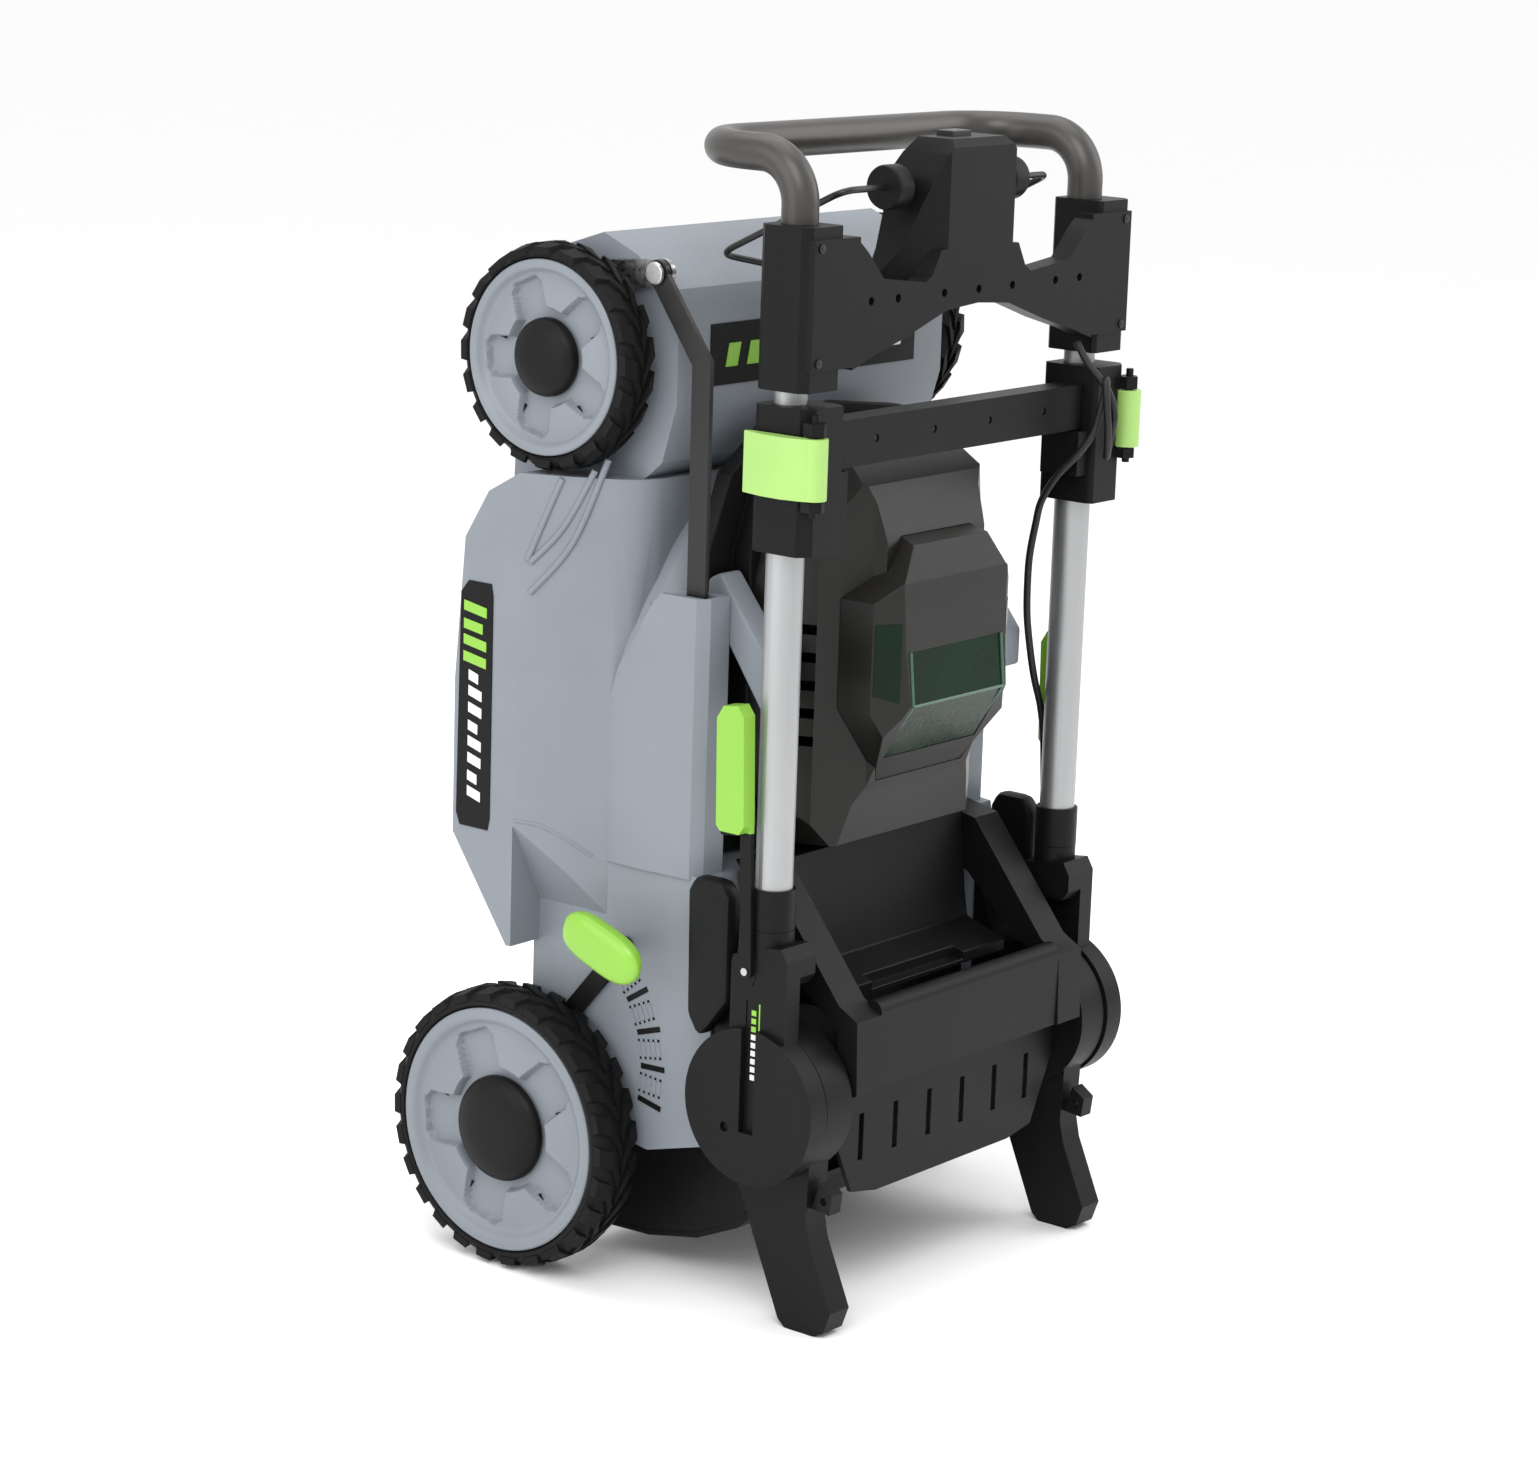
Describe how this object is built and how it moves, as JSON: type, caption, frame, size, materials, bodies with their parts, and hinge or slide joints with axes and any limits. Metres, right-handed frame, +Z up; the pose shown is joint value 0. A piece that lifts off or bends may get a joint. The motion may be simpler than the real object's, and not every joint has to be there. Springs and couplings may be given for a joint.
{
  "type": "push lawn mower",
  "caption": "Cordless push lawn mower in its upright storage position: polymer deck, folding telescopic handle, battery bay under a lid, single blade, height adjuster.",
  "frame": {"origin": "centre of the bounding box's bottom, on the floor under the upright mower", "axes": "+X towards the mower's right side, -Y towards the deck's top side, +Z up, which is the mower's front in this storage position"},
  "size_m": [0.4868, 0.4129, 0.914],
  "materials": {
    "deck_grey": "satin grey moulded polymer",
    "black_plastic": "satin black moulded polymer",
    "lime_plastic": "bright lime green moulded polymer",
    "tube_aluminium": "satin anodised tube",
    "bar_paint": "dark warm grey powder coat",
    "zinc_steel": "zinc plated steel",
    "black_steel": "black painted steel",
    "tyre_rubber": "black moulded tread",
    "window_green": "dark green see-through polymer",
    "battery_case": "dark grey textured polymer",
    "button_grey": "dark grey moulded polymer",
    "cable_rubber": "black cable sheath"
  },
  "bodies": {
    "mower_body": {"deck": "deck_grey", "struts": "deck_grey", "badges": "black_plastic", "motor_base": "black_plastic", "motor_hood": "black_plastic", "battery_pack": "battery_case", "motor": "zinc_steel", "rear_housing": "black_plastic", "carry_frame": "black_plastic", "louvre_panel": "black_plastic", "door_pin": "zinc_steel", "bracket_left": "black_plastic", "bracket_right": "black_plastic", "bracket_cover_left": "black_plastic", "bracket_cover_right": "black_plastic"},
    "lid": {"battery_lid": "black_plastic", "lid_window": "window_green"},
    "blade_set": {"blade_shaft": "zinc_steel", "blade": "black_steel", "blade_bolt": "zinc_steel"},
    "door": {"rear_door": "black_plastic"},
    "handle_base": {"swing_arm_left": "black_plastic", "swing_arm_right": "black_plastic", "lever_pins": "zinc_steel", "lower_tube_left": "tube_aluminium", "lower_tube_right": "tube_aluminium", "tube_collars": "black_plastic", "clamp_left": "black_plastic", "clamp_right": "black_plastic", "cross_bar": "black_plastic", "cable": "cable_rubber"},
    "fold_lever_l": {"fold_lever_left": "lime_plastic"},
    "fold_lever_r": {"fold_lever_right": "lime_plastic"},
    "cam_l": {"cam_lever_left": "lime_plastic"},
    "cam_r": {"cam_lever_right": "lime_plastic"},
    "handle_top": {"upper_tube_left": "tube_aluminium", "upper_tube_right": "tube_aluminium", "console": "black_plastic", "handlebar": "bar_paint"},
    "button": {"start_button": "button_grey"},
    "bail": {"bail_wire": "black_steel", "bail_hubs": "black_plastic"},
    "rear_height": {"rear_axle": "zinc_steel", "height_lever": "lime_plastic"},
    "front_height": {"front_axle": "zinc_steel", "rod_bolts": "zinc_steel"},
    "rod": {"link_rod": "black_steel"},
    "wheel_rear_left": {"tyre_rear_left": "tyre_rubber", "rim_rear_left": "deck_grey", "cap_rear_left": "black_plastic"},
    "wheel_rear_right": {"tyre_rear_right": "tyre_rubber", "rim_rear_right": "deck_grey", "cap_rear_right": "black_plastic"},
    "wheel_front_left": {"tyre_front_left": "tyre_rubber", "rim_front_left": "deck_grey", "cap_front_left": "black_plastic"},
    "wheel_front_right": {"tyre_front_right": "tyre_rubber", "rim_front_right": "deck_grey", "cap_front_right": "black_plastic"}
  },
  "joints": [
    {"name": "handle_fold", "type": "hinge", "parent": "mower_body", "child": "handle_base", "pos_m": [0, -0.13965, 0.179], "axis": [1, 0, 0], "range_deg": [0, 130]},
    {"name": "handle_telescope", "type": "slide", "parent": "handle_base", "child": "handle_top", "axis": [0, 0, 1], "range_m": [0, 0.25]},
    {"name": "fold_lever_left_turn", "type": "hinge", "parent": "handle_base", "child": "fold_lever_l", "pos_m": [0, -0.13365, 0.286], "axis": [1, 0, 0], "range_deg": [0, 25]},
    {"name": "fold_lever_right_turn", "type": "hinge", "parent": "handle_base", "child": "fold_lever_r", "pos_m": [0, -0.13365, 0.286], "axis": [1, 0, 0], "range_deg": [0, 25]},
    {"name": "cam_left_turn", "type": "hinge", "parent": "handle_base", "child": "cam_l", "pos_m": [-0.204, -0.17965, 0.676], "axis": [0, 0, 1], "range_deg": [0, 110]},
    {"name": "cam_right_turn", "type": "hinge", "parent": "handle_base", "child": "cam_r", "pos_m": [0.204, -0.17965, 0.676], "axis": [0, 0, -1], "range_deg": [0, 110]},
    {"name": "bail_turn", "type": "hinge", "parent": "handle_top", "child": "bail", "pos_m": [0, -0.14165, 0.872], "axis": [1, 0, 0], "range_deg": [0, 30], "stiffness_Nm_per_rad": 1.2, "springref_deg": -28.65},
    {"name": "start_press", "type": "slide", "parent": "handle_top", "child": "button", "axis": [0, 0, -1], "range_m": [0, 0.004], "stiffness_N_per_m": 800, "springref_m": -0.002},
    {"name": "height_turn", "type": "hinge", "parent": "mower_body", "child": "rear_height", "pos_m": [0, 0.08635, 0.1763], "axis": [1, 0, 0], "range_deg": [0, 60]},
    {"name": "front_height_turn", "type": "hinge", "parent": "mower_body", "child": "front_height", "pos_m": [0, 0.07335, 0.793], "axis": [1, 0, 0], "range_deg": [0, 60]},
    {"name": "rod_turn", "type": "hinge", "parent": "rear_height", "child": "rod", "pos_m": [0, 0.00935, 0.1843], "axis": [1, 0, 0], "range_deg": [-60, 0]},
    {"name": "wheel_rear_left_spin", "type": "hinge", "parent": "rear_height", "child": "wheel_rear_left", "pos_m": [0, 0.09235, 0.1143], "axis": [1, 0, 0], "continuous": true},
    {"name": "wheel_rear_right_spin", "type": "hinge", "parent": "rear_height", "child": "wheel_rear_right", "pos_m": [0, 0.09235, 0.1143], "axis": [1, 0, 0], "continuous": true},
    {"name": "wheel_front_left_spin", "type": "hinge", "parent": "front_height", "child": "wheel_front_left", "pos_m": [0, 0.07935, 0.731], "axis": [1, 0, 0], "continuous": true},
    {"name": "wheel_front_right_spin", "type": "hinge", "parent": "front_height", "child": "wheel_front_right", "pos_m": [0, 0.07935, 0.731], "axis": [1, 0, 0], "continuous": true},
    {"name": "lid_turn", "type": "hinge", "parent": "mower_body", "child": "lid", "pos_m": [0, -0.14965, 0.592], "axis": [1, 0, 0], "range_deg": [-80, 0]},
    {"name": "door_turn", "type": "hinge", "parent": "mower_body", "child": "door", "pos_m": [0, -0.11165, 0.092], "axis": [1, 0, 0], "range_deg": [-70, 0], "stiffness_Nm_per_rad": 1.5, "springref_deg": 68.75},
    {"name": "blade_spin", "type": "hinge", "parent": "mower_body", "child": "blade_set", "pos_m": [0, 0.12435, 0.456], "axis": [0, 1, 0], "continuous": true}
  ],
  "couplings": [
    {"joint": "front_height_turn", "follows": "height_turn", "ratio": 1},
    {"joint": "rod_turn", "follows": "height_turn", "ratio": -1}
  ]
}
